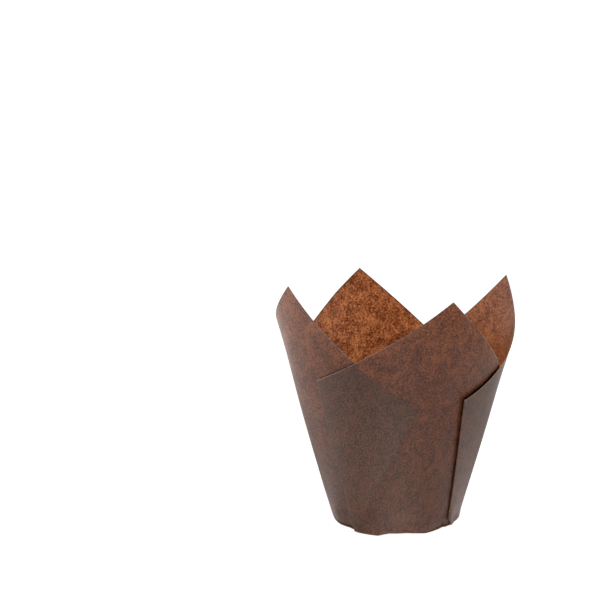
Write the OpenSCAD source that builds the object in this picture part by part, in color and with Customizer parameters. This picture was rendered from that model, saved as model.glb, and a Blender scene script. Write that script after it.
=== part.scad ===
// A tulip cupcake liner: one square of greaseproof paper, pressed into a cup.
// The four corners of the square stand up as petals. Between two petals the spare paper is laid
// round the wall as a pleat of three layers, and all four pleats are laid the same way round.
//
// The wall is part of a cone. Unrolled it is flat, and paper lies on it without stretching, so
// each petal is the same square sheet, set down on the unrolled wall in its own place. Two
// neighbouring petals differ by a turn about one point, the foot of the pleat between them, and
// the two folds of the pleat leave that foot at half that turn from each other.
//
// Millimetres and degrees. The axis of the cup is +Z, and the base rests on z = 0. Directions
// round the cup are counted from the front (-Y) towards the right (+X).

/* [Sheet] */
// Side of the square of paper
sheet_side = 175; // [165:1:185]
// Thickness of the paper
paper_t = 0.08; // [0.06:0.01:0.1]

/* [Cup] */
// Diameter of the round base
base_d = 50; // [46:0.5:54]
// Lean of the wall, outwards from upright
wall_lean = 15.4; // [14:0.1:17]
// Radius of the bend from the base into the wall
rim_r = 1; // [0.5:0.1:1.5]

/* [Front petal] */
// Direction of the corner
front_turn = 22.8; // [20:0.1:25]
// How far the corner stands above that of a sheet pressed on its centre
front_rise = 3.2; // [0:0.1:5]
// Lean of the petal to the right of the wall's own line
front_lean = 4.1; // [2:0.1:6]
// How far the tip bends out of the wall
front_curl = 1.3; // [-3:0.1:8]

/* [Right petal] */
// Direction of the corner
right_turn = 120.7; // [118:0.1:124]
// How far the corner stands above that of a sheet pressed on its centre
right_rise = -2.5; // [-5:0.1:0]
// Lean of the petal to the right of the wall's own line
right_lean = 4; // [2:0.1:5.5]
// How far the tip bends out of the wall
right_curl = 0.3; // [-3:0.1:8]

/* [Back petal] */
// Direction of the corner
back_turn = 196.6; // [194:0.1:200]
// How far the corner stands above that of a sheet pressed on its centre
back_rise = -4.6; // [-6:0.1:0]
// Lean of the petal to the right of the wall's own line
back_lean = -2.3; // [-4:0.1:0]
// How far the tip bends out of the wall
back_curl = 7.7; // [-3:0.1:8]

/* [Left petal] */
// Direction of the corner
left_turn = 308.8; // [306:0.1:312]
// How far the corner stands above that of a sheet pressed on its centre
left_rise = 4.5; // [1:0.1:6]
// Lean of the petal to the right of the wall's own line
left_lean = 5.6; // [4:0.1:7]
// How far the tip bends out of the wall
left_curl = -0.2; // [-3:0.1:8]

/* [Pleats] */
// Air between the faces of two layers of a pleat
fold_gap = 0.3; // [0.2:0.01:0.4]
// Lean of the free fold of the front right pleat
front_right_lean = -10.1; // [-12:0.1:-7]
// How far that fold springs off the wall at its top
front_right_spring = 1.2; // [0:0.1:2]
// Lean of the free fold of the right back pleat
right_back_lean = -12; // [-14:0.1:-9]
// How far that fold springs off the wall at its top
right_back_spring = 0.3; // [0:0.1:2]
// Lean of the free fold of the back left pleat
back_left_lean = -2; // [-5:0.1:1]
// How far that fold springs off the wall at its top
back_left_spring = 0.3; // [0:0.1:2]
// Lean of the free fold of the left front pleat
left_front_lean = -1.8; // [-5:0.1:2]
// How far that fold springs off the wall at its top
left_front_spring = 0.2; // [0:0.1:2]

/* [Hidden] */

base_r = base_d / 2;
half_diagonal = sheet_side / sqrt(2);
// Slant height of the corners of a sheet that is pressed on its centre
petal_slant = half_diagonal - base_r;
// Distance from the point of the unrolled cone to the rim of the base
point_to_rim = base_r / sin(wall_lean);
// Share of the slant height of a petal at which it starts to bend
bend_from = 0.45;
// Reach of a petal's bend round the cup, to either side
bend_reach = 70;
// Distance between the middles of two layers
layer_step = paper_t + fold_gap;
// Turn of the rim, beyond each fold, over which a pleat is gathered
gather_turn = 3;
// How far the gathers swell at the rim, to either side of the wall
gather_depth = 0.8;
// Share of the height of the gathers at which a middle layer stands on edge
edge_height = 0.25;
// Slant height above the highest foot of a pleat at which the three layers lie flat
gather_rise = 4.5;
// Length of wall, and of base, that the bend between them takes up
bend_length = rim_r * tan((90 - wall_lean) / 2);

// Strips of the mesh across one layer of a pleat, round one fold and across the rest of a petal
pleat_strips = 7;
fold_strips = 3;
petal_strips = 6;
// Strips up the bend of the rim, up the gathered foot of the wall and up the rest of it
bend_strips = 2;
gather_strips = 4;
wall_strips = 8;

turns = [front_turn, right_turn, back_turn, left_turn];
rises = [front_rise, right_rise, back_rise, left_rise];
leans = [front_lean, right_lean, back_lean, left_lean];
curls = [front_curl, right_curl, back_curl, left_curl];
free_leans = [front_right_lean, right_back_lean, back_left_lean, left_front_lean];
springs = [front_right_spring, right_back_spring, back_left_spring, left_front_spring];
petals = len(turns);

function mix(a, b, t) = a + (b - a) * t;
function ease(t) = t * t * (3 - 2 * t);
function clamp(t) = max(0, min(1, t));
function unit(v) = v / norm(v);

// The unrolled wall, with the point of the cone at its origin. An angle there is counted from
// +Y towards +X.
function heading(a) = [sin(a), cos(a)];
function heading_of(v) = atan2(v.x, v.y);
function turned(v, a) = v * cos(a) + [v.y, -v.x] * sin(a);
function slant(p) = norm(p) - point_to_rim;
function direction(p) = heading_of(p) / sin(wall_lean);
function place(turn, s) = (point_to_rim + s) * heading(turn * sin(wall_lean));
// Distance from p, along angle a, to the line through q at angle b
function reach(p, a, q, b) = cross(q - p, heading(b)) / cross(heading(a), heading(b));
// Where the line from q at angle a comes to slant height s
function at_slant(q, a, s) =
    let (along = q * heading(a))
    q + (sqrt(along ^ 2 - q * q + (point_to_rim + s) ^ 2) - along) * heading(a);

// Any whole number counts petals and pleats round the cup, lap after lap
function lap(k) = floor(k / petals);
function pick(list, k) = list[k - petals * lap(k)];

// A petal is the list [tip, angle of its axis, centre of the sheet]
TIP = 0;
AXIS = 1;
CENTRE = 2;
function petal(k) =
    let (
        a = (pick(turns, k) + 360 * lap(k)) * sin(wall_lean),
        tip = (point_to_rim + petal_slant + pick(rises, k)) * heading(a),
        axis = a + pick(leans, k)
    )
    [tip, axis, tip - half_diagonal * heading(axis)];
// The cut edges run down from the tip, at 45 degrees to the axis. A place on them is given by
// its distance from the tip, counted below 0 on the left edge and above 0 on the right one.
function left_edge(p) = p[AXIS] + 225;
function right_edge(p) = p[AXIS] + 135;
function on_edge(p, w) = p[TIP] + abs(w) * heading(w < 0 ? left_edge(p) : right_edge(p));
// The place on the edges that the line from q at angle a comes to
function edge_at(p, q, a) =
    let (left = reach(p[TIP], left_edge(p), q, a))
    left > 0 ? -left : reach(p[TIP], right_edge(p), q, a);

// A pleat lies between petal k, which is its inner layer, and petal k + 1, which is its outer
// layer. It is the list [foot, angle of the free fold, angle from there to the hidden fold, top
// of the free fold, top of the hidden fold, shares of that angle where the mesh has an edge].
FOOT = 0;
FREE = 1;
WEDGE = 2;
FREE_TOP = 3;
HIDDEN_TOP = 4;
SHARES = 5;
function pleat(k) =
    let (
        inner = petal(k),
        outer = petal(k + 1),
        turn = outer[AXIS] - inner[AXIS] - 90,
        gap = outer[CENTRE] - turned(inner[CENTRE], turn),
        foot = (gap + [gap.y, -gap.x] * sin(turn) / (1 - cos(turn))) / 2,
        free = heading_of(foot) + pick(free_leans, k),
        wedge = -turn / 2,
        free_top = on_edge(outer, edge_at(outer, foot, free)),
        hidden_top = on_edge(inner, edge_at(inner, foot, free + wedge)),
        even = [for (i = [0:pleat_strips]) i / pleat_strips],
        outer_tip = (heading_of(outer[TIP] - foot) - free) / wedge,
        inner_tip = (heading_of(inner[TIP] - foot) - free) / wedge
    )
    [foot, free, wedge, free_top, hidden_top, snapped(snapped(even, outer_tip), inner_tip)];
// Evenly spaced values, the nearest of which is moved onto x when x lies between the ends
function snapped(list, x) =
    let (
        n = len(list) - 1,
        share = (x - list[0]) / (list[n] - list[0]),
        nearest = max(1, min(n - 1, round(share * n)))
    )
    share <= 0 || share >= 1 ? list : [for (i = [0:n]) i == nearest ? x : list[i]];

// Direction of the line at share u of a pleat, where it comes to slant height s
function fold_direction(g, u, s) =
    direction(at_slant(g[FOOT], g[FREE] + g[WEDGE] * u, s));

pleats = [for (k = [0:petals]) pleat(k)];
gather_slant = gather_rise + max([for (g = pleats) slant(g[FOOT])]);
// Directions between which each pleat is gathered at the rim
rims = [for (g = pleats) [
    fold_direction(g, 0, bend_length) - gather_turn,
    fold_direction(g, 1, bend_length) + gather_turn
]];
// How far each pleat has formed where its middle layer stands on edge
strips = 3 * pleat_strips + 2 * fold_strips;
edge_shares = [for (k = [0:petals])
    let (
        g = pleats[k],
        flat = (rims[k][1] - rims[k][0]) * pleat_strips / strips,
        folded = fold_direction(g, 1, gather_slant) - fold_direction(g, 0, gather_slant)
    )
    flat / (flat + folded)];

// The middle surface of the sheet is made of columns, which run up from the rim to the cut edge.
// A column is the list [direction at the rim, place just above the gathers, place on the cut
// edge, shift to the right, distance off the wall at the rim, distance off the wall above the
// gathers, spring at the top, slant height of that top, share of the pleat that has formed where
// its middle layer stands on edge].
RIM = 0;
LOW = 1;
HIGH = 2;
SHIFT = 3;
SWELL = 4;
OFF = 5;
SPRING = 6;
SPRUNG_AT = 7;
EDGE_SHARE = 8;
// The layers of a pleat
INNER = -1;
MIDDLE = 0;
OUTER = 1;
// The middle layer ends on the straight line between the tops of the two folds
function top_of(k, layer, a) =
    let (g = pleats[k], p = petal(layer == INNER ? k : k + 1))
    layer == MIDDLE
        ? g[FOOT] + heading(a)
            * reach(g[FOOT], a, g[HIDDEN_TOP], heading_of(g[FREE_TOP] - g[HIDDEN_TOP]))
        : on_edge(p, edge_at(p, g[FOOT], a));
// Column i of pleat k, at share u of its angle
function layer_column(k, i, layer, u, shift, off) =
    let (
        g = pleats[k],
        a = g[FREE] + g[WEDGE] * u,
        rise = (i - pleat_strips) / (pleat_strips + 2 * fold_strips)
    )
    [
        mix(rims[k][0], rims[k][1], i / strips),
        at_slant(g[FOOT], a, gather_slant),
        top_of(k, layer, a),
        shift,
        gather_depth * (2 * clamp(rise) - 1),
        off,
        layer == INNER ? 0 : pick(springs, k) * (1 - u) ^ 2,
        slant(g[FREE_TOP]),
        edge_shares[k]
    ];
function pleat_columns(k) =
    let (n = pleat_strips, f = fold_strips, shares = pleats[k][SHARES], r = layer_step / 2)
    [
        // Out along the inner layer, and round the hidden fold
        for (i = [0:n]) layer_column(k, i, INNER, shares[i], 0, -layer_step),
        for (i = [1:f - 1])
            let (b = 180 * i / f)
            layer_column(k, n + i, INNER, 1, r * sin(b), -r - r * cos(b)),
        // Back along the middle layer, and round the free fold
        for (i = [0:n]) layer_column(k, n + f + i, MIDDLE, shares[n - i], 0, 0),
        for (i = [1:f - 1])
            let (b = 180 * i / f)
            layer_column(k, 2 * n + f + i, OUTER, 0, -r * sin(b), r - r * cos(b)),
        // Out again along the outer layer
        for (i = [0:n]) layer_column(k, 2 * n + 2 * f + i, OUTER, shares[i], 0, layer_step)
    ];
// The single layer of petal k + 1, between the pleats on its two sides
function petal_columns(k) =
    let (
        n = petal_strips,
        g = pleats[k],
        h = pleats[k + 1],
        p = petal(k + 1),
        low = [fold_direction(g, 1, gather_slant), fold_direction(h, 0, gather_slant)],
        high = [edge_at(p, g[FOOT], g[FREE] + g[WEDGE]), edge_at(p, h[FOOT], h[FREE])],
        ends = snapped([for (i = [0:n]) mix(high[0], high[1], i / n)], 0)
    )
    [for (i = [1:n - 1])
        let (v = i / n, side = 1 - 2 * ease(v))
        [
            mix(rims[k][1], rims[k + 1][0], v),
            place(mix(low[0], low[1], v), gather_slant),
            on_edge(p, ends[i]),
            0,
            gather_depth * side,
            layer_step * side,
            0,
            petal_slant,
            mix(edge_shares[k], edge_shares[k + 1], v)
        ]];

columns = [for (k = [0:petals - 1]) each concat(pleat_columns(k), petal_columns(k))];
around = len(columns);

// How far the petals bend out of the wall
function bend(turn, s) =
    let (t = max(0, (s / petal_slant - bend_from) / (1 - bend_from)))
    t * t * sum([for (k = [0:petals - 1])
        let (d = abs(turn - turns[k]), away = min(d, abs(360 - d)) / bend_reach)
        away < 1 ? curls[k] * cos(90 * away) ^ 2 : 0]);
function sum(list) = list * [for (x = list) 1];

// A point of the middle surface, at distance off outwards from the wall
function on_wall(p, off) =
    let (
        s = slant(p),
        turn = direction(p),
        out = off + bend(turn, s),
        r = base_r + s * sin(wall_lean) + out * cos(wall_lean)
    )
    [r * sin(turn), -r * cos(turn), paper_t / 2 + s * cos(wall_lean) - out * sin(wall_lean)];

// The rows of the middle surface: round the bend of the rim, up the gathers and up the wall
function bend_point(c, t) =
    let (
        b = (90 - wall_lean) * t,
        out = rim_r + c[SWELL] * t * t,
        r = base_r - bend_length + out * sin(b)
    )
    [r * sin(c[RIM]), -r * cos(c[RIM]), paper_t / 2 + rim_r - out * cos(b)];
function shifted(c, p) = p + c[SHIFT] * heading(heading_of(c[HIGH] - c[LOW]) + 90);
function gather_point(c, t) =
    let (
        formed = t < edge_height
            ? c[EDGE_SHARE] * t / edge_height
            : mix(c[EDGE_SHARE], 1, ((t - edge_height) / (1 - edge_height)) ^ 2),
        turn = mix(c[RIM], direction(shifted(c, c[LOW])), formed)
    )
    on_wall(place(turn, mix(bend_length, gather_slant, t)), mix(c[SWELL], c[OFF], t));
function wall_point(c, t) =
    let (
        p = mix(c[LOW], c[HIGH], t),
        lift = clamp((slant(p) - gather_slant) / (c[SPRUNG_AT] - gather_slant))
    )
    on_wall(shifted(c, p), c[OFF] + c[SPRING] * lift * lift);
middle = [
    for (j = [0:bend_strips]) [for (c = columns) bend_point(c, j / bend_strips)],
    for (j = [1:gather_strips]) [for (c = columns) gather_point(c, j / gather_strips)],
    for (j = [1:wall_strips]) [for (c = columns) wall_point(c, j / wall_strips)]
];
top = len(middle) - 1;

// The two faces lie half the thickness of the paper to either side of the middle surface
function face_normal(j, i) =
    j == 0
        ? [0, 0, -1]
        : unit(cross(
            middle[j][(i + 1) % around] - middle[j][(i + around - 1) % around],
            middle[min(top, j + 1)][i] - middle[j - 1][i]
        ));
normals = [for (j = [0:top]) [for (i = [0:around - 1]) face_normal(j, i)]];
function face_points(side) = [
    [0, 0, paper_t / 2 - side * paper_t / 2],
    for (j = [0:top]) for (i = [0:around - 1]) middle[j][i] + side * paper_t / 2 * normals[j][i]
];
face_count = 1 + (top + 1) * around;
function at(j, i) = j < 0 ? 0 : 1 + j * around + i % around;

// Each four-sided patch is split along its shorter diagonal, the same way on both faces
function patch(j, i) =
    let (
        a = at(j, i),
        b = at(j, i + 1),
        c = at(j + 1, i + 1),
        d = at(j + 1, i),
        next = (i + 1) % around,
        rising = norm(middle[j + 1][next] - middle[j][i]),
        falling = norm(middle[j + 1][i] - middle[j][next])
    )
    rising < falling ? [[a, d, c], [a, c, b]] : [[a, d, b], [d, c, b]];
outside = [
    for (i = [0:around - 1]) [0, at(0, i), at(0, i + 1)],
    for (j = [0:top - 1]) for (i = [0:around - 1]) each patch(j, i)
];
inside = [for (f = outside) [f[2], f[1], f[0]] + face_count * [1, 1, 1]];
cut_edge = [
    for (i = [0:around - 1])
        let (c = at(top, i + 1), d = at(top, i))
        each [[c, d, d + face_count], [c, d + face_count, c + face_count]]
];

module liner() {
    color([0.43, 0.29, 0.21])
        polyhedron(
            points = concat(face_points(1), face_points(-1)),
            faces = concat(outside, inside, cut_edge),
            convexity = 10
        );
}

liner();
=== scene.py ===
"""A tulip cupcake liner of brown greaseproof paper, folded from one square sheet.

The sheet is one closed surface, worked out with numpy. Its wall is part of a cone, which is flat
when it is unrolled, so every petal is the same square sheet laid on the unrolled wall, and every
pleat is a turn of that sheet about the foot of the pleat. Lengths are in metres and angles in
radians.
"""

import math

import bpy
import numpy as np
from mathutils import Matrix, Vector


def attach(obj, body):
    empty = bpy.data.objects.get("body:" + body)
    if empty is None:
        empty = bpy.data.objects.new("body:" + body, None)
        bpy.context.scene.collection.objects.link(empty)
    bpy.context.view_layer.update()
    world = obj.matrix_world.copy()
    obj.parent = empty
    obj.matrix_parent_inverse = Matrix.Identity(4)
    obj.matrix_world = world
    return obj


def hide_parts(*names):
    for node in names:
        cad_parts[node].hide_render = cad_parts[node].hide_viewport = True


bl_info = {
    "name": "Tulip cupcake liner",
    "version": (1, 0, 0),
    "blender": (4, 5, 0),
    "location": "3D View > Sidebar > Liner",
    "description": "Builds a folded paper cupcake liner and the stage that it stands on",
    "category": "Add Mesh",
}

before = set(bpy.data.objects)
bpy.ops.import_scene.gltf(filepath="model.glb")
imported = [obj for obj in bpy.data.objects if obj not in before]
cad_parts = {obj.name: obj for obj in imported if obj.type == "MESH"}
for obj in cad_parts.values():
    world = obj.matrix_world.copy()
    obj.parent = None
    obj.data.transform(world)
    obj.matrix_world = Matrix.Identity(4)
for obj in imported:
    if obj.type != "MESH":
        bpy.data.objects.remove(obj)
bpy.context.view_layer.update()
MM = 0.001
PETALS = 4


# ---------------------------------------------------------------- sizes and colours

# One function for each kind of property. A single length is given in metres, a list of lengths
# in millimetres, and every angle in degrees.


def length(name, description, default, high=1.0):
    return bpy.props.FloatProperty(
        name=name, description=description, default=default, min=0.0, max=high,
        subtype="DISTANCE", unit="LENGTH", precision=5)


def angle(name, description, degrees):
    return bpy.props.FloatProperty(
        name=name, description=description, default=math.radians(degrees),
        subtype="ANGLE", unit="ROTATION")


def share(name, description, default, high=1.0):
    return bpy.props.FloatProperty(
        name=name, description=description, default=default, min=0.0, max=high)


def lengths(name, description, default):
    return bpy.props.FloatVectorProperty(
        name=name, description=description, default=[v * MM for v in default],
        size=len(default), unit="LENGTH", precision=5)


def angles(name, description, default):
    return bpy.props.FloatVectorProperty(
        name=name, description=description, default=[math.radians(v) for v in default],
        size=len(default), unit="ROTATION")


def levels(name, description, default):
    return bpy.props.FloatVectorProperty(
        name=name, description=description, default=default, size=len(default), min=0.0)


def colour(name, description, default):
    return bpy.props.FloatVectorProperty(
        name=name, description=description, default=default, size=3, subtype="COLOR",
        min=0.0, max=1.0)


class LinerSizes(bpy.types.PropertyGroup):
    """The sheet of paper and how it is folded. A list of petals runs front, right, back, left
    round the cup, and a list of pleats starts with the one between the front and the right."""

    sheet_side: length("Sheet", "Side of the square of paper", 175 * MM)
    thickness: length("Thickness", "Thickness of the paper", 0.08 * MM)
    base_diameter: length("Base", "Diameter of the round base", 50 * MM)
    wall_lean: angle("Wall lean", "Lean of the wall, outwards from upright", 15.4)
    rim_radius: length("Rim", "Radius of the bend from the base into the wall", 1 * MM)
    turns: angles("Petals", "Directions of the four corners, from the front towards the right",
                  (22.4, 119.9, 196.3, 307.7))
    rises: lengths("Rises", "How far each corner stands above that of a centred sheet",
                   (3.3, -2.7, -4.9, 4.0))
    leans: angles("Leans", "Lean of each petal to the right of the wall's own line",
                  (2.6, 4.6, -2.6, 5.3))
    curls: lengths("Curls", "How far each tip bends out of the wall", (1.1, 0.1, 7.2, -0.6))
    free_leans: angles("Fold leans", "Lean of the free fold of each pleat",
                       (-11.2, -12.0, -2.0, -4.2))
    springs: lengths("Springs", "How far each free fold springs off the wall at its top",
                     (0.75, 0.3, 0.3, 0.2))
    fold_gap: length("Fold gap", "Air between two layers of a pleat", 0.3 * MM)


class PaperFinish(bpy.types.PropertyGroup):
    """The greaseproof paper."""

    face_brown: colour("Face", "Colour of the paper's face", (0.21, 0.076, 0.034))
    dense_brown: colour("Dense fibres", "Colour of the face where the fibres lie densely",
                        (0.045, 0.018, 0.01))
    # Also the colour of the painted highlight along the folds
    cut_edge_and_highlight: colour("Cut edge", "Colour of the cut edge and of worn folds", (0.5, 0.36, 0.27))
    through_dense: colour("Light through dense paper",
                          "Colour of the light that dense patches let through",
                          (0.42, 0.18, 0.085))
    through_thin: colour("Light through thin paper",
                         "Colour of the light that thin patches let through",
                         (1.0, 0.59, 0.345))
    # Painted shade: the colour of the light through where other layers lie under the paper, and
    # partly towards the foot
    through_layer_shade: colour("Light through layers",
                           "Colour of the light that comes through where other layers lie under "
                           "the paper", (0.08, 0.034, 0.016))
    thin_share: share("Thinness", "Share of the light that passes a face of the paper", 0.54)
    blotch_size: length("Blotches", "Size of the wide patches seen against the light", 9 * MM)
    cloud_size: length("Clouds", "Size of the cloudy patches seen against the light", 3.2 * MM)
    speck_size: length("Specks", "Size of the specks seen against the light", 0.85 * MM)
    grain_size: length("Grain", "Size of the grain of the face", 0.8 * MM)
    gloss: share("Gloss", "Strength of the satin gloss", 0.55)
    roughness: share("Roughness", "Roughness of the face", 0.42)


class StageSetup(bpy.types.PropertyGroup):
    """The floor, the soft light and the camera."""

    floor_size: length("Floor", "Side of the square floor", 6.0, high=20.0)
    floor_white: colour("Floor colour", "Colour of the floor", (0.9, 0.9, 0.9))
    floor_seen: share("Floor glow", "How much the floor glows for the camera", 0.9, high=4.0)
    floor_near: levels("Light near",
                       "Light from the floor near the cup, in eight directions from the left "
                       "round by the front",
                       (2.65, 0.1, 2.92, 0.4, 2.45, 0.0, 0.05, 0.0))
    floor_far: levels("Light far", "Light from the floor further off, left, front, right and back",
                      (1.9, 0.0, 0.0, 3.7))
    floor_under: share("Light under", "Light from the floor under the cup", 1.0, high=4.0)
    tent_sides: levels("Tent sides", "Brightness of the tent's left, front, right and back",
                       (2.8, 0.08, 2.75, 0.85))
    tent_top: share("Tent top", "Brightness of the tent's top", 0.15, high=4.0)
    camera_distance: length("Camera distance", "From the middle of the cup", 744.38 * MM, high=5.0)
    camera_elevation: angle("Camera elevation", "Angle of the camera above level", 16.27)
    camera_lens: bpy.props.FloatProperty(
        name="Lens", description="Focal length in millimetres on a 36 mm sensor", default=112.84,
        unit="CAMERA")


# ---------------------------------------------------------------- the folded sheet

# The number of strips that each part of the sheet is drawn with
STRIPS = {
    "pleat": 20,   # across one layer of a pleat
    "fold": 5,     # round one fold
    "petal": 56,   # across the single layer of a petal
    "base": 7,     # from the middle of the base to its rim
    "bend": 4,     # up the bend of the rim
    "gather": 8,   # up the gathered foot of the wall
    "wall": 64,    # up the rest of the wall
}
# One column of the sheet, from the rim of the base up to the cut edge
COLUMN = np.dtype([
    ("rim", float),            # direction at the rim
    ("low", complex),          # place just above the gathers
    ("high", complex),         # place on the cut edge
    ("shift", float),          # sideways, round a fold
    ("swell", float),          # distance off the wall at the rim
    ("off", float),            # distance off the wall above the gathers
    ("spring", float),         # further distance off the wall at the top
    ("sprung_at", float),      # slant height of that top
    ("edge_share", float),     # share of the pleat formed where its middle layer stands on edge
    ("spin", complex),         # the place on the flat sheet is spin * place + start,
    ("start", complex),        # with the place mirrored first where the sheet lies face about
    ("mirrored", bool),
    ("crease", float),         # distance from the column's own fold at the cut edge
    ("cover", float, (2, 2)),  # distance inside the fold and the cut edge that bound the other
                               # layers there, at the low and at the high place
])
LEFT_EDGE, RIGHT_EDGE = math.radians(225), math.radians(135)  # a petal's cut edges, from its axis
BEND_FROM = 0.45               # share of the petals' slant height above which a tip bends
BEND_REACH = math.radians(70)  # how far to either side of its corner a petal bends
GATHER_TURN = math.radians(3)  # how far a gathered pleat spreads at the rim, to either side
GATHER_DEPTH = 0.8 * MM        # how far it swells there, inwards and outwards
GATHER_RISE = 4.5 * MM         # how far the gathers reach above the highest foot of a pleat
EDGE_HEIGHT = 0.25             # share of the way up the gathers where middle layers stand on edge
LOW_CREASE = 0.1               # a column's distance from its fold at the gathers, as a share of
                               # that distance at the cut edge
FAR = 50 * MM                  # a distance that stands for nothing near
SHARP = math.radians(60)       # faces that meet at more than this show an edge
# Corners of the foot: direction in degrees, and how far the foot stands out there in mm
FOOT = ((-77, -0.1), (-57, 0.9), (-44, 0.4), (-31, 1.5), (-13, 1.8), (-5, -0.6), (12, -1.0),
        (28, 1.3), (50, -0.3), (54, 0.5), (66, -0.4), (90, 0.3), (117, 0.5), (156, -0.3),
        (187, 0.5), (220, -0.3), (253, 0.5), (270, -0.4))
FOOT_RISE = 14 * MM            # slant height at which those corners have died away
# Soft dents of the wall: direction in degrees, slant height and depth outwards in mm
DENTS = ((-150, 70, 0.76), (-120, 70, 1.41), (-90, 72, -0.85), (-60, 72, 0.44), (-30, 75, -0.61),
         (0, 70, -0.32), (30, 75, 0.27), (60, 60, -0.74), (90, 60, -0.17), (120, 75, -0.83),
         (150, 75, 0.13), (180, 80, 0.1), (-90, 35, 0.1), (90, 30, -0.05))
DENT_WIDTH, DENT_HEIGHT = math.radians(24), 18 * MM


def heading(a):
    """A step of length one at angle a, as a complex number."""
    return np.exp(1j * a)


def ease(t):
    """From 0 to 1, level at both ends: three times the square less twice the cube."""
    return t * t * (3 - 2 * t)


def mix(a, b, t):
    """In a straight line from a to b, as t goes from 0 to 1."""
    return a + (b - a) * t


def beside(p, q, a):
    """Distance of p to the left of the line through q at angle a."""
    return ((p - q) * heading(-a)).imag


def crossing(p, a, q, b):
    """Distance from p, along angle a, to the line through q at angle b."""
    return (np.conj(q - p) * heading(b)).imag / (np.conj(heading(a)) * heading(b)).imag


class Wall:
    """The unrolled wall. A place on it is a complex number with the cone's point at 0, and the
    slant height of a place is its distance from the rim of the base."""

    def __init__(self, sizes):
        self.sizes = sizes
        self.lean = sizes.wall_lean
        self.base_radius = sizes.base_diameter / 2
        self.to_rim = self.base_radius / math.sin(self.lean)
        self.half_diagonal = sizes.sheet_side / math.sqrt(2)
        self.petal_slant = self.half_diagonal - self.base_radius
        self.layer_step = sizes.thickness + sizes.fold_gap
        self.bend_length = sizes.rim_radius * math.tan((math.pi / 2 - self.lean) / 2)
        self.petals = [self.petal(k) for k in range(PETALS + 1)]
        self.pleats = [self.pleat(k) for k in range(PETALS)]
        self.pleats.append(self.next_lap(self.pleats[0]))
        self.gather_slant = GATHER_RISE + max(self.slant(p["foot"]) for p in self.pleats)
        for pleat in self.pleats:
            self.gather(pleat)

    def slant(self, p):
        """Slant height of a place: its distance from the cone's point, less the rim's."""
        return np.abs(p) - self.to_rim

    def direction(self, p):
        """Direction of a place round the cup: its angle on the unrolled wall, over the sine of
        the wall's lean."""
        return np.angle(p) / math.sin(self.lean)

    def place(self, turn, s):
        """The place in a direction and at slant height s."""
        return (self.to_rim + s) * heading(turn * math.sin(self.lean))

    def at_slant(self, q, a, s):
        """Where the line from q at angle a comes to slant height s."""
        along = (np.conj(q) * heading(a)).real
        return q + (np.sqrt(along**2 - abs(q)**2 + (self.to_rim + s)**2) - along) * heading(a)

    def petal(self, k):
        """Tip, axis and middle of the sheet as it lies for petal k, and how it is turned and
        moved back to the flat sheet, whose middle is at 0."""
        i, lap = k % PETALS, k // PETALS
        a = (self.sizes.turns[i] + 2 * math.pi * lap) * math.sin(self.lean)
        tip = (self.to_rim + self.petal_slant + self.sizes.rises[i]) * heading(a)
        axis = a + self.sizes.leans[i]
        centre = tip - self.half_diagonal * heading(axis)
        spin = heading(math.pi / 2 * k - axis)
        return {"tip": tip, "axis": axis, "centre": centre, "spin": spin, "start": -centre * spin}

    def on_edge(self, petal, w):
        """The place on a petal's cut edges at distance w from its tip, below 0 on the left."""
        side = np.where(w < 0, LEFT_EDGE, RIGHT_EDGE)
        return petal["tip"] + np.abs(w) * heading(petal["axis"] + side)

    def edge_at(self, petal, q, a):
        """That distance where the line from q at angle a meets the cut edges."""
        left = crossing(petal["tip"], petal["axis"] + LEFT_EDGE, q, a)
        right = crossing(petal["tip"], petal["axis"] + RIGHT_EDGE, q, a)
        return np.where(left > 0, -left, right)

    def pleat(self, k):
        """The pleat between petal k, its inner layer, and petal k + 1, its outer one. Its foot is
        the point that stays still when the sheet turns from one to the other. Its free and its
        hidden fold leave the foot with half that turn, its wedge, between them."""
        inner, outer = self.petals[k], self.petals[k + 1]
        turn = outer["axis"] - inner["axis"] - math.pi / 2
        foot = (outer["centre"] - inner["centre"] * heading(turn)) / (1 - heading(turn))
        free = np.angle(foot) + self.sizes.free_leans[k]
        wedge = -turn / 2
        hidden = free + wedge
        return {
            "inner": inner, "outer": outer, "foot": foot, "free": free, "wedge": wedge,
            "free_top": self.on_edge(outer, self.edge_at(outer, foot, free)),
            "hidden_top": self.on_edge(inner, self.edge_at(inner, foot, hidden)),
            "spring": self.sizes.springs[k],
            # What bounds the layers behind the outer sheet and before the inner one: a fold and
            # a cut edge, each with the side on which the layers are
            "behind": ((foot, hidden, -1), (inner["tip"], inner["axis"] + RIGHT_EDGE, 1)),
            "before": ((foot, free, 1), (outer["tip"], outer["axis"] + LEFT_EDGE, -1)),
        }

    def next_lap(self, pleat):
        """A pleat one lap of the cup further on, with what the petal on its left needs of it."""
        lap = 2 * math.pi * math.sin(self.lean)
        return {
            "foot": pleat["foot"] * heading(lap),
            "free": pleat["free"] + lap,
            "wedge": pleat["wedge"],
            "before": [(q * heading(lap), a + lap, side) for q, a, side in pleat["before"]],
        }

    def fold_direction(self, pleat, u, s):
        """Direction at slant height s of the line from a pleat's foot that is its free fold
        where u is 0 and its hidden fold where u is 1."""
        return self.direction(self.at_slant(pleat["foot"], pleat["free"] + pleat["wedge"] * u, s))

    def gather(self, pleat):
        """The directions between which a pleat is gathered at the rim, and how far it has formed
        where its middle layer stands on edge."""
        start, end = (self.fold_direction(pleat, u, self.bend_length) for u in (0, 1))
        pleat["rim"] = (start - GATHER_TURN, end + GATHER_TURN)
        free, hidden = (self.fold_direction(pleat, u, self.gather_slant) for u in (0, 1))
        strips = 3 * STRIPS["pleat"] + 2 * STRIPS["fold"]
        flat = (pleat["rim"][1] - pleat["rim"][0]) * STRIPS["pleat"] / strips
        pleat["edge_share"] = flat / (flat + (hidden - free))

    def tip_share(self, pleat, petal):
        """The share of a pleat's width, from its free fold, at which a petal's tip lies."""
        return (np.angle(petal["tip"] - pleat["foot"]) - pleat["free"]) / pleat["wedge"]


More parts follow.
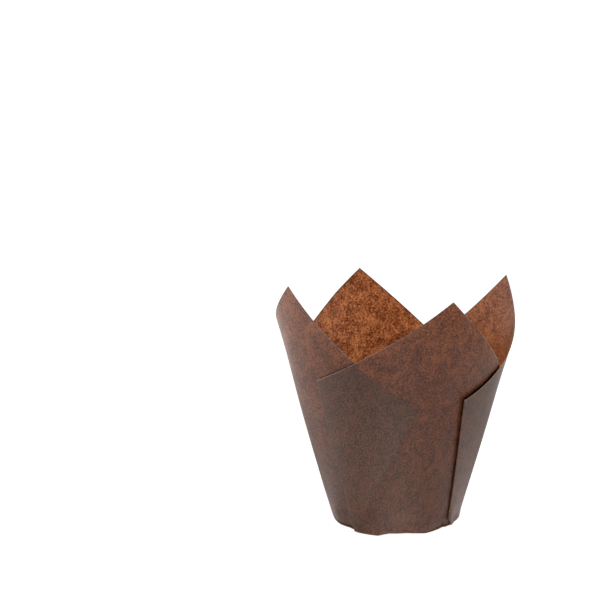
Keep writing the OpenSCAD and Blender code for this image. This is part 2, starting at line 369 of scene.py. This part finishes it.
def covered(bounds, low, high):
    """Distances inside two bounds at the low and at the high place of each column."""
    return np.stack([side * beside(p, q, a) for q, a, side in bounds for p in (low, high)],
                    -1).reshape(len(low), 2, 2)


def snapped(values, x):
    """The values, the nearest of which is moved onto x where x lies between their ends."""
    values = np.array(values, float)
    low, high = sorted((values[0], values[-1]))
    if low < x < high:
        values[1 + np.argmin(np.abs(values[1:-1] - x))] = x
    return values


def pleat_columns(wall, pleat):
    """Out along the inner layer, round the hidden fold, back along the middle layer, round the
    free fold and out again along the outer layer. A fold is half a circle across the layers, and
    the columns of a layer stand closer to each other near the folds, by a cosine."""
    inner, outer, foot = pleat["inner"], pleat["outer"], pleat["foot"]
    n, f, r = STRIPS["pleat"], STRIPS["fold"], wall.layer_step / 2
    across = (1 - np.cos(np.linspace(0, np.pi, n + 1))) / 2
    for petal in (inner, outer):
        across = snapped(across, wall.tip_share(pleat, petal))
    bow = np.pi * np.arange(1, f) / f
    ones, none = np.ones(f - 1), np.zeros(n + 1)
    # Layer, share of the pleat's width from its free fold, shift sideways, distance off the wall
    parts = (
        (-1, across, none, none - 2 * r),
        (-1, ones, r * np.sin(bow), -r - r * np.cos(bow)),
        (0, across[::-1], none, none),
        (1, 0 * ones, -r * np.sin(bow), r - r * np.cos(bow)),
        (1, across, none, none + 2 * r),
    )
    layer = np.concatenate([np.full(len(p[1]), p[0]) for p in parts])
    u, shift, off = (np.concatenate([p[i] for p in parts]) for i in (1, 2, 3))
    count = np.arange(len(u))
    a = pleat["free"] + pleat["wedge"] * u
    # The middle layer ends on the straight line from fold to fold
    chord = np.angle(pleat["free_top"] - pleat["hidden_top"])
    straight = foot + heading(a) * crossing(foot, a, pleat["hidden_top"], chord)
    c = np.zeros(len(u), COLUMN)
    c["rim"] = mix(*pleat["rim"], count / count[-1])
    c["low"] = wall.at_slant(foot, a, wall.gather_slant)
    c["high"] = np.where(layer == 0, straight, np.where(
        layer < 0, wall.on_edge(inner, wall.edge_at(inner, foot, a)),
        wall.on_edge(outer, wall.edge_at(outer, foot, a))))
    c["shift"], c["off"] = shift, off
    c["swell"] = GATHER_DEPTH * (2 * np.clip((count - n) / (n + 2 * f), 0, 1) - 1)
    c["spring"] = np.where(layer < 0, 0, pleat["spring"] * (1 - u)**2)
    c["sprung_at"] = wall.slant(pleat["free_top"])
    c["edge_share"] = pleat["edge_share"]
    # The middle layer is the outer one's sheet turned over about the free fold
    over = heading(2 * pleat["free"]) * outer["spin"]
    over_start = foot * outer["spin"] - np.conj(foot) * over + outer["start"]
    c["mirrored"] = layer == 0
    c["spin"] = np.where(layer == 0, over, np.where(layer < 0, inner["spin"], outer["spin"]))
    c["start"] = np.where(
        layer == 0, over_start, np.where(layer < 0, inner["start"], outer["start"]))
    # Only the hidden fold ends the inner layer, and only the free fold the outer one
    fold = np.where(layer < 0, 1 - u, np.where(layer > 0, u, np.minimum(u, 1 - u)))
    c["crease"] = np.abs(c["high"] - foot) * abs(pleat["wedge"]) * fold
    ends = layer[:, None, None]
    c["cover"] = np.where(ends < 0, covered(pleat["before"], c["low"], c["high"]), np.where(
        ends > 0, covered(pleat["behind"], c["low"], c["high"]), FAR))
    return c


def petal_columns(wall, pleat, next_pleat, petal):
    """The single layer of a petal, between the outer layer of one pleat and the inner layer of
    the next. Its distance off the wall eases from the one to the other. The first and the last
    column are the pleats' own."""
    n = STRIPS["petal"]
    v = np.arange(n + 1) / n
    low = (wall.fold_direction(pleat, 1, wall.gather_slant),
           wall.fold_direction(next_pleat, 0, wall.gather_slant))
    high = (wall.edge_at(petal, pleat["foot"], pleat["free"] + pleat["wedge"]),
            wall.edge_at(petal, next_pleat["foot"], next_pleat["free"]))
    side = 1 - 2 * ease(v)
    c = np.zeros(n + 1, COLUMN)
    c["rim"] = mix(pleat["rim"][1], next_pleat["rim"][0], v)
    c["low"] = wall.place(mix(*low, v), wall.gather_slant)
    c["high"] = wall.on_edge(petal, snapped(mix(*high, v), 0))
    c["swell"] = GATHER_DEPTH * side
    c["off"] = wall.layer_step * side
    c["sprung_at"] = wall.petal_slant
    c["edge_share"] = mix(pleat["edge_share"], next_pleat["edge_share"], v)
    c["spin"], c["start"] = petal["spin"], petal["start"]
    c["crease"] = FAR
    c["cover"] = np.where(v[:, None, None] < 0.5, covered(pleat["behind"], c["low"], c["high"]),
                          covered(next_pleat["before"], c["low"], c["high"]))
    return c[1:-1]


def relief(turn, s):
    """How far the wall stands off the cone: its foot runs straight from corner to corner, which
    dies away upwards, and soft dents, each a bell of the direction and the height, are where the
    paper has been bent in the hand."""
    corner, proud = np.transpose(FOOT)
    foot = np.interp(np.degrees(turn), corner, proud * MM, period=360)
    out = foot * (1 - ease(np.clip(s / FOOT_RISE, 0, 1)))
    for direction, height, depth in DENTS:
        aside = np.angle(heading(turn - math.radians(direction))) / DENT_WIDTH
        above = (s - height * MM) / DENT_HEIGHT
        out = out + depth * MM * np.exp(-aside**2 - above**2)
    return out


def in_space(turn, r, z):
    """The point at radius r and height z, in a direction from the front towards the right."""
    return np.stack([r * np.sin(turn), -r * np.cos(turn), z], -1)


def on_wall(wall, s, turn, off):
    """The point at slant height s in a direction, at distance off outwards from the cone. Each
    petal bends out of the cone by the square of the height above the start of the bend, and by
    the squared cosine of the way from its corner."""
    rise = np.maximum(0, (s / wall.petal_slant - BEND_FROM) / (1 - BEND_FROM))
    bend = 0.0
    for corner, curl in zip(wall.sizes.turns, wall.sizes.curls):
        away = np.abs(np.angle(heading(turn - corner))) / BEND_REACH
        bend = bend + curl * np.cos(np.pi / 2 * np.clip(away, 0, 1))**2
    out = off + rise**2 * bend + relief(turn, s)
    r = wall.base_radius + s * math.sin(wall.lean) + out * math.cos(wall.lean)
    z = wall.sizes.thickness / 2 + s * math.cos(wall.lean) - out * math.sin(wall.lean)
    return in_space(turn, r, z)


def steps(part, first=1):
    """Even steps up to 1, one for each strip of a part, each in a row of its own."""
    return np.arange(first, STRIPS[part] + 1)[:, None] / STRIPS[part]


def base_rows(wall, c):
    """Straight out from the middle of the base, and round the bend of its rim, an arc whose
    radius grows by the swell times the square of the way round. No point is below the base."""
    half, rim_radius = wall.sizes.thickness / 2, wall.sizes.rim_radius
    t = steps("bend", 0)
    bow = (math.pi / 2 - wall.lean) * t
    out = rim_radius + c["swell"] * t * t
    foot = relief(c["rim"], 0 * c["rim"]) * np.ones_like(t)
    r = wall.base_radius - wall.bend_length + out * np.sin(bow) + foot * math.cos(wall.lean)
    z = half + rim_radius - out * np.cos(bow) - foot * math.sin(wall.lean) * t * t
    bend = in_space(c["rim"], r, np.maximum(z, half))
    t = steps("base")[:-1]
    base = bend[:1] * np.concatenate([t, t, 0 * t + 1], 1)[:, None, :]
    return np.concatenate([base, bend])


def gather_rows(wall, c, aside):
    """Up the gathers, where the pleats form: the height and the distance off the wall go evenly
    from those at the rim to those of the layers, and the direction evenly until the middle
    layers stand on edge, and then by the square of the way."""
    t = steps("gather")
    folding = ((t - EDGE_HEIGHT) / (1 - EDGE_HEIGHT))**2
    formed = np.where(t < EDGE_HEIGHT, c["edge_share"] * t / EDGE_HEIGHT,
                      mix(c["edge_share"], 1, folding))
    top = c["low"] + aside
    return on_wall(wall, mix(wall.bend_length, wall.slant(top), t),
                   mix(c["rim"], wall.direction(top), formed), mix(c["swell"], c["off"], t))


def sheet_surface(wall):
    """The middle surface of the paper, in rows up from the middle of the base and columns round
    the cup: its points, and for each its place on the flat sheet and three distances, from a
    fold, from the cut edge, and in under other layers. Above the gathers a column is straight on
    the unrolled wall, and springs off it evenly from the gathers up."""
    c = np.concatenate([part for k in range(PETALS) for part in (
        pleat_columns(wall, wall.pleats[k]),
        petal_columns(wall, wall.pleats[k], wall.pleats[k + 1], wall.petals[k + 1]))])
    aside = c["shift"] * heading(np.angle(c["high"] - c["low"]) + np.pi / 2)
    t = steps("wall")
    p = mix(c["low"], c["high"], t)
    risen = wall.slant(p) - wall.gather_slant
    lift = np.clip(risen / (c["sprung_at"] - wall.gather_slant), 0, 1)
    upper = on_wall(wall, wall.slant(p + aside), wall.direction(p + aside),
                    c["off"] + c["spring"] * lift)
    lower = np.concatenate([base_rows(wall, c), gather_rows(wall, c, aside)])

    def on_sheet(place):
        """The same place on the flat sheet."""
        return c["spin"] * np.where(c["mirrored"], np.conj(place), place) + c["start"]

    # Below the wall, the places run straight to the middle of the flat sheet, each row by its
    # mean distance along the paper from the middle of the base
    rows_apart = np.linalg.norm(np.diff(lower, axis=0), axis=-1).mean(1)
    reach = np.append(np.hypot(*lower[0, 0, :2]), rows_apart).cumsum()
    inward = (reach / reach[-1])[:, None]
    flat = np.concatenate([on_sheet(c["low"]) * inward, on_sheet(p)])
    same = np.ones_like(inward)
    crease = np.concatenate([c["crease"] * LOW_CREASE * same, c["crease"] * mix(LOW_CREASE, 1, t)])
    to_edge = np.abs(c["high"] - c["low"])
    edge = np.concatenate([to_edge * same, to_edge * (1 - t)])
    cover = mix(c["cover"][:, :, 0], c["cover"][:, :, 1], t[..., None]).min(-1)
    cover = np.concatenate([cover[0] * same, cover])
    cover[:STRIPS["base"]] = -FAR
    distances = {"Crease": crease, "Edge": edge, "Cover": cover}
    return np.concatenate([lower, upper]), flat, distances


def unit(v):
    """Vectors cut or stretched to length one."""
    return v / np.linalg.norm(v, axis=-1, keepdims=True)


def paper_shell(wall):
    """Both faces of the paper, half its thickness to either side of the middle surface along
    the cross product of the steps round and up it, joined along the cut edge. The middle of the
    base closes each face with a fan."""
    points, flat, distances = sheet_surface(wall)
    half = wall.sizes.thickness / 2
    around = np.roll(points, -1, 1) - np.roll(points, 1, 1)
    normal = unit(np.cross(around, np.gradient(points, axis=0)))
    centre, down = np.array([[0, 0, half]]), np.array([[0, 0, -1]])
    normal[:STRIPS["base"]] = down
    verts = np.concatenate([part for side in (1, -1) for part in (
        centre + side * half * down, (points + side * half * normal).reshape(-1, 3))])
    count = 1 + flat.size
    ring = 1 + np.arange(flat.size).reshape(flat.shape)
    beyond = np.roll(ring, -1, 1)
    quads = np.stack([part.ravel() for part in (ring[:-1], beyond[:-1], beyond[1:], ring[1:])], 1)
    fan = np.stack([ring[0], beyond[0], 0 * ring[0]], 1)
    edge = np.stack([ring[-1], beyond[-1], beyond[-1] + count, ring[-1] + count], 1)
    quads = np.concatenate([quads, quads[:, ::-1] + count, edge])
    fan = np.concatenate([fan, fan[:, ::-1] + count])
    uv = np.append(0, flat)
    uv = np.tile(np.stack([uv.real, uv.imag], 1) / wall.sizes.sheet_side + 0.5, (2, 1))
    distances = {name: np.tile(np.append(d[0, 0], d), 2) for name, d in distances.items()}
    return verts, quads, fan, uv, distances


def make_mesh(name, verts, quads, triangles, uv, distances):
    """A mesh from whole arrays, smooth but for its sharp edges. Each of the distances becomes an
    attribute of its points."""
    mesh = bpy.data.meshes.new(name)
    loops = np.concatenate([quads.ravel(), triangles.ravel()])
    corners = np.concatenate([np.full(len(quads), 4), np.full(len(triangles), 3)])
    mesh.vertices.add(len(verts))
    mesh.vertices.foreach_set("co", verts.astype(np.float32).ravel())
    mesh.loops.add(len(loops))
    mesh.loops.foreach_set("vertex_index", loops.astype(np.int32))
    mesh.polygons.add(len(corners))
    mesh.polygons.foreach_set("loop_start", (np.cumsum(corners) - corners).astype(np.int32))
    mesh.polygons.foreach_set("loop_total", corners.astype(np.int32))
    mesh.update(calc_edges=True)
    if mesh.validate():
        raise RuntimeError(f"{name} has faulty faces")
    layer = mesh.uv_layers.new(name="Sheet")
    layer.uv.foreach_set("vector", uv[loops].astype(np.float32).ravel())
    for title, values in distances.items():
        attribute = mesh.attributes.new(title, "FLOAT", "POINT")
        attribute.data.foreach_set("value", values.astype(np.float32))
    mesh.polygons.foreach_set("use_smooth", np.ones(len(corners), bool))
    mesh.set_sharp_from_angle(angle=SHARP)
    return mesh


# ---------------------------------------------------------------- materials

# Shares of the patterns in the patches seen against the light, and in the fibres of the face
LIGHT_BLOTCHES, LIGHT_CLOUDS, LIGHT_SPECKS = 0.5, 0.6, 1.7
FACE_BLOTCHES, FACE_CLOUDS = 0.08, 0.18
# Ranges, from and to, and what they go from and to where that isn't 0 and 1
THIN_RANGE = (-0.25, 0.27)                     # of the patches, from dense to thin paper
FIBRE_RANGE = (0.44, 0.56)                     # of the grain, from dense fibres to the plain face
LAYER_SHADE_RANGE = (-0.8 * MM, 1.2 * MM)            # painted shade: how far in under other layers the light through is darkened
FOOT_SHADE_RANGE = (5 * MM, 50 * MM, 0.5, 1.0)       # up from the base: painted shade, the light through darker towards the foot
TRIM_RANGE = (0.1 * MM, 0.9 * MM, 0.55, 1.0)   # in from the cut edge: how much light comes through
LIP_RANGE = (0.0, 0.22 * MM, 1.0, 0.0)         # in from the cut edge: how far cut fibres show
FOLD_HIGHLIGHT_RANGE = (0.0, 0.4 * MM, 1.0, 0.0)         # away from a fold: how far the painted highlight along it reaches
NEAR_RANGE = (30 * MM, 300 * MM, 1.0, 0.0)     # along the floor: how far the near light counts
UNDER_RANGE = (22 * MM, 27 * MM, 1.0, 0.0)     # along the floor: how far it is under the cup
LAYER_SHADE = 0.16                             # share of the light that other layers hold back
LIP_PALE, FOLD_HIGHLIGHT_PALE = 0.55, 0.04               # shares of the cut edge's colour, at the cut edge and in the painted highlight along folds
RIB_SIZE, RIB_STRETCH, RIB_HEIGHT = 0.8 * MM, (1, 1, 0.08), 0.6
BUMP_DEPTH = 0.1 * MM
GRAIN_ROUGHNESS = 0.4                          # how much the roughness varies with the grain
TOOTH_SIZE, TOOTH_ROUGHNESS = 2 * MM, 0.1      # of the floor
FLOOR_ROUGHNESS, FLOOR_GLOSS = 0.75, 0.2
SIDE_SUM = {4: 1.0, 8: 1.5}  # what the lobes of by_side add up to when all of them are 1


class Value:
    """A number that varies over a surface. Python's operators on it add Math nodes."""

    def __init__(self, tree, socket):
        self.tree, self.socket = tree, socket

    def maths(self, operation, *values, clamp=False):
        """A Math node on these values."""
        n = self.tree.nodes.new("ShaderNodeMath")
        n.operation, n.use_clamp = operation, clamp
        for slot, value in zip(n.inputs, values):
            put(self.tree, slot, value)
        return Value(self.tree, n.outputs[0])

    def __add__(self, other):
        return self.maths("ADD", self, other)

    def __radd__(self, other):
        return self.maths("ADD", other, self)

    def __sub__(self, other):
        return self.maths("SUBTRACT", self, other)

    def __rsub__(self, other):
        return self.maths("SUBTRACT", other, self)

    def __mul__(self, other):
        return self.maths("MULTIPLY", self, other)

    def __rmul__(self, other):
        return self.maths("MULTIPLY", other, self)

    def power(self, other):
        return self.maths("POWER", self, other)

    def maximum(self, other):
        return self.maths("MAXIMUM", self, other)

    def clamped(self):
        """Held between 0 and 1."""
        return self.maths("ADD", self, 0.0, clamp=True)


def put(tree, slot, value):
    """Links a Value or a socket to a slot, or sets a constant on it."""
    if isinstance(value, Value):
        value = value.socket
    if isinstance(value, bpy.types.NodeSocket):
        tree.links.new(value, slot)
    else:
        slot.default_value = value


class Nodes:
    """Adds nodes to one tree."""

    def __init__(self, tree):
        self.tree = tree
        tree.nodes.clear()

    def add(self, kind, settings=None, sockets=None, out=0):
        """A node of a kind: its settings first, then the values or links of its sockets. Gives
        the output named or numbered by out."""
        n = self.tree.nodes.new(kind)
        for name, value in (settings or {}).items():
            setattr(n, name, value)
        for name, value in (sockets or {}).items():
            put(self.tree, n.inputs[name], value)
        return Value(self.tree, n.outputs[out]) if len(n.outputs) else n

    def noise(self, where, size, detail=2.0, roughness=0.5, stretch=(1, 1, 1)):
        """Noise with features of a real size, between 0 and 1."""
        scaled = self.add("ShaderNodeMapping", {"vector_type": "POINT"}, {
            "Vector": where, "Scale": tuple(k / size for k in stretch)})
        return self.add("ShaderNodeTexNoise", {"noise_dimensions": "3D"}, {
            "Vector": scaled, "Scale": 1.0, "Detail": detail, "Roughness": roughness})

    def range(self, value, low, high, to_low=0.0, to_high=1.0, smooth=True):
        """Takes what goes from low to high to what goes from to_low to to_high, and no further
        at either end."""
        return self.add("ShaderNodeMapRange", {
            "interpolation_type": "SMOOTHSTEP" if smooth else "LINEAR"}, {
            "Value": value, "From Min": low, "From Max": high,
            "To Min": to_low, "To Max": to_high})

    def by_side(self, way, sides):
        """A brightness for each side, evenly spaced from the left round by the front, and
        blended all round: a power of the cosine of the angle from that side."""
        count, total = len(sides), 0.0
        for i, level in enumerate(sides):
            a = 2 * math.pi * i / count
            side = (-math.cos(a), -math.sin(a), 0)
            facing = self.add("ShaderNodeVectorMath", {"operation": "DOT_PRODUCT"},
                              {0: way, 1: side}, out="Value").maximum(0.0)
            total = facing.power(count / 2) * (level / SIDE_SUM[count]) + total
        return total

    def mix_colour(self, factor, a, b):
        """From colour a to colour b. The sockets go by number, because the Mix node's sockets
        for numbers, vectors and colours have the same names."""
        return self.add("ShaderNodeMix", {"data_type": "RGBA"}, {0: factor, 6: a, 7: b}, out=2)

    def mix_shader(self, factor, a, b):
        """Shader a where the factor is 0, and shader b where it is 1."""
        return self.add("ShaderNodeMixShader", {}, {0: factor, 1: a, 2: b})


def rgba(c):
    return (*c, 1.0)


def new_material(name):
    """A material with an empty tree, and the means to add nodes to it."""
    material = bpy.data.materials.new(name)
    material.use_nodes = True
    return material, Nodes(material.node_tree)


def greaseproof_paper(finish, sheet_side):
    """Satin brown paper: a glossy dark brown face, mixed with light that comes through. That
    light is orange, and its colour varies from cloud to cloud and from speck to speck, so the
    patches show against the light. Under other layers it is painted dark brown and a little
    weaker, as painted shade, and towards the foot of the cup it is partly so, also as painted
    shade. Along the folds the face is painted paler, as a painted highlight."""
    material, n = new_material("greaseproof_paper")
    uv = n.add("ShaderNodeTexCoord", out="UV")
    flat = n.add("ShaderNodeVectorMath", {"operation": "SCALE"},
                 {"Vector": uv, "Scale": sheet_side})
    place = n.add("ShaderNodeTexCoord", out="Object")
    height = n.add("ShaderNodeSeparateXYZ", {}, {0: place}, out="Z")
    cover, edge, crease = (
        n.add("ShaderNodeAttribute", {"attribute_name": name}, out="Fac")
        for name in ("Cover", "Edge", "Crease"))

    blotches = n.noise(flat, finish.blotch_size) - 0.5
    clouds = n.noise(flat, finish.cloud_size) - 0.5
    specks = n.noise(flat, finish.speck_size, roughness=0.75) - 0.5
    grain = n.noise(flat, finish.grain_size, detail=3.0, roughness=0.85)
    ribs = n.noise(place, RIB_SIZE, roughness=0.6, stretch=RIB_STRETCH)
    bump = n.add("ShaderNodeBump", {}, {
        "Strength": 1.0, "Distance": BUMP_DEPTH, "Height": grain + ribs * RIB_HEIGHT})

    # The face
    lip = n.range(edge, *LIP_RANGE)
    # Painted highlight: the face is painted paler along the folds, in the cut edge's colour
    highlit = n.range(crease, *FOLD_HIGHLIGHT_RANGE)
    fibres = n.range(grain + clouds * FACE_CLOUDS + blotches * FACE_BLOTCHES, *FIBRE_RANGE,
                     smooth=False)
    brown = n.mix_colour(fibres, rgba(finish.dense_brown), rgba(finish.face_brown))
    pale = (lip * LIP_PALE + highlit * FOLD_HIGHLIGHT_PALE).clamped()
    face = n.add("ShaderNodeBsdfPrincipled", {}, {
        "Base Color": n.mix_colour(pale, brown, rgba(finish.cut_edge_and_highlight)),
        "Roughness": finish.roughness + (grain - 0.5) * GRAIN_ROUGHNESS,
        "Specular IOR Level": finish.gloss, "Normal": bump})

    # The light that comes through
    def light_through(tint):
        return n.add("ShaderNodeBsdfTranslucent", {}, {"Color": rgba(tint), "Normal": bump})

    patches = blotches * LIGHT_BLOTCHES + clouds * LIGHT_CLOUDS + specks * LIGHT_SPECKS
    through = n.mix_shader(n.range(patches, *THIN_RANGE, smooth=False),
                           light_through(finish.through_dense), light_through(finish.through_thin))
    # Painted shade: the light through is painted darker and weaker in under other layers, and
    # darker towards the foot
    layer_shaded = n.range(cover, *LAYER_SHADE_RANGE)
    unshaded = (1 - layer_shaded) * n.range(height, *FOOT_SHADE_RANGE)
    through = n.mix_shader(unshaded, light_through(finish.through_layer_shade), through)
    let_through = (n.range(edge, *TRIM_RANGE) * (1 - lip) * (1 - layer_shaded * LAYER_SHADE)
                   * finish.thin_share)
    paper = n.mix_shader(let_through, face, through)
    n.add("ShaderNodeOutputMaterial", {}, {"Surface": paper})
    return material


def floor_white(stage):
    """Matt white board that glows. For the camera it glows evenly. The light that it throws on
    the paper differs from side to side, near the cup and further off, and is even under it."""
    material, n = new_material("floor_white")
    where = n.add("ShaderNodeTexCoord", out="Object")
    way = n.add("ShaderNodeVectorMath", {"operation": "NORMALIZE"}, {"Vector": where})
    off = n.add("ShaderNodeVectorMath", {"operation": "LENGTH"}, {0: where}, out="Value")
    seen = n.add("ShaderNodeLightPath", out="Is Camera Ray")
    near, under = n.range(off, *NEAR_RANGE), n.range(off, *UNDER_RANGE)
    lit = near * n.by_side(way, stage.floor_near) + (1 - near) * n.by_side(way, stage.floor_far)
    lit = (1 - under) * lit + under * stage.floor_under
    glow = (1 - seen) * lit + seen * stage.floor_seen
    tooth = n.noise(where, TOOTH_SIZE)
    face = n.add("ShaderNodeBsdfPrincipled", {}, {
        "Base Color": rgba(stage.floor_white),
        "Roughness": FLOOR_ROUGHNESS + (tooth - 0.5) * TOOTH_ROUGHNESS,
        "Specular IOR Level": FLOOR_GLOSS, "Emission Strength": 1.0,
        "Emission Color": n.add("ShaderNodeCombineXYZ", {}, {"X": glow, "Y": glow, "Z": glow})})
    n.add("ShaderNodeOutputMaterial", {}, {"Surface": face})
    return material


# ---------------------------------------------------------------- operators

FLOOR_GAP = 0.05 * MM                   # between the base and the floor, so that they stay apart
SEEN_WHITE = 1.1                        # brightness of the surround for the camera
CAMERA_CENTRE = 0.040                   # height of the middle of the cup
CAMERA_AIM = (-0.03781, 0.0, 0.0869)    # the point that the camera looks at
SENSOR_WIDTH = 36.0
CLIP = (0.05, 50.0)


def add_object(context, name, data):
    """A new object in the scene, at the origin."""
    piece = bpy.data.objects.new(name, data)
    context.scene.collection.objects.link(piece)
    return piece


class MESH_OT_make_liner(bpy.types.Operator):
    """Fold the sheet of paper into the liner"""

    bl_idname = "mesh.make_cupcake_liner"
    bl_label = "Make the liner"
    bl_options = {"REGISTER", "UNDO"}

    def execute(self, context):
        sizes, finish = context.scene.liner_sizes, context.scene.paper_finish
        mesh = make_mesh("paper_liner", *paper_shell(Wall(sizes)))
        mesh.materials.append(greaseproof_paper(finish, sizes.sheet_side))
        liner = add_object(context, "paper_liner", mesh)
        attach(liner, "root")
        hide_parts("liner")
        return {"FINISHED"}


class SCENE_OT_make_stage(bpy.types.Operator):
    """Add the floor, the soft light and the camera"""

    bl_idname = "scene.make_liner_stage"
    bl_label = "Make the stage"
    bl_options = {"REGISTER", "UNDO"}

    def execute(self, context):
        stage = context.scene.liner_stage
        self.add_floor(context, stage)
        self.add_surround(context, stage)
        self.add_camera(context, stage)
        context.scene.view_settings.view_transform = "Standard"
        return {"FINISHED"}

    def add_floor(self, context, stage):
        """A square board just below the base."""
        half, low = stage.floor_size / 2, -FLOOR_GAP
        corners = [(-half, -half, low), (half, -half, low), (half, half, low), (-half, half, low)]
        mesh = bpy.data.meshes.new("floor")
        mesh.from_pydata(corners, [], [(0, 1, 2, 3)])
        mesh.materials.append(floor_white(stage))
        add_object(context, "floor", mesh)

    def add_surround(self, context, stage):
        """White all round for the camera. For the paper it is a tent with four sides, which die
        away upwards by a square, and a top, which dies away downwards by a square."""
        world = bpy.data.worlds.new("surround")
        context.scene.world = world
        world.use_nodes = True
        n = Nodes(world.node_tree)
        seen = n.add("ShaderNodeLightPath", out="Is Camera Ray")
        way = n.add("ShaderNodeTexCoord", out="Generated")
        up = n.add("ShaderNodeSeparateXYZ", {}, {0: way}, out="Z").maximum(0.0)
        low = 1 - up
        lit = n.by_side(way, stage.tent_sides) * low * low + up * up * stage.tent_top
        strength = seen * SEEN_WHITE + (1 - seen) * lit
        back = n.add("ShaderNodeBackground", {}, {"Color": rgba((1, 1, 1)), "Strength": strength})
        n.add("ShaderNodeOutputWorld", {}, {"Surface": back})

    def add_camera(self, context, stage):
        """In front of the cup and above it, and aimed to its left, so that it stands at the right
        of the picture."""
        data = bpy.data.cameras.new("camera")
        data.lens, data.sensor_width = stage.camera_lens, SENSOR_WIDTH
        data.clip_start, data.clip_end = CLIP
        camera = add_object(context, "camera", data)
        above, away = stage.camera_elevation, stage.camera_distance
        camera.location = (0, -away * math.cos(above), CAMERA_CENTRE + away * math.sin(above))
        aim = Vector(CAMERA_AIM) - camera.location
        camera.rotation_euler = aim.to_track_quat("-Z", "Y").to_euler()
        context.scene.camera = camera


class VIEW3D_PT_liner(bpy.types.Panel):
    """The liner's sizes, its paper and its stage"""

    bl_label = "Cupcake liner"
    bl_idname = "VIEW3D_PT_cupcake_liner"
    bl_space_type = "VIEW_3D"
    bl_region_type = "UI"
    bl_category = "Liner"

    def draw(self, context):
        for name, operator in (("liner_sizes", None), ("paper_finish", MESH_OT_make_liner),
                               ("liner_stage", SCENE_OT_make_stage)):
            column = self.layout.column()
            group = getattr(context.scene, name)
            for item in type(group).__annotations__:
                column.prop(group, item)
            if operator:
                column.operator(operator.bl_idname)


GROUPS = {"liner_sizes": LinerSizes, "paper_finish": PaperFinish, "liner_stage": StageSetup}
CLASSES = (*GROUPS.values(), MESH_OT_make_liner, SCENE_OT_make_stage, VIEW3D_PT_liner)


def register():
    for c in CLASSES:
        bpy.utils.register_class(c)
    for name, group in GROUPS.items():
        setattr(bpy.types.Scene, name, bpy.props.PointerProperty(type=group))


def unregister():
    for name in GROUPS:
        delattr(bpy.types.Scene, name)
    for c in reversed(CLASSES):
        bpy.utils.unregister_class(c)


def main():
    register()
    bpy.ops.mesh.make_cupcake_liner()
    bpy.ops.scene.make_liner_stage()


if __name__ == "__main__":
    main()
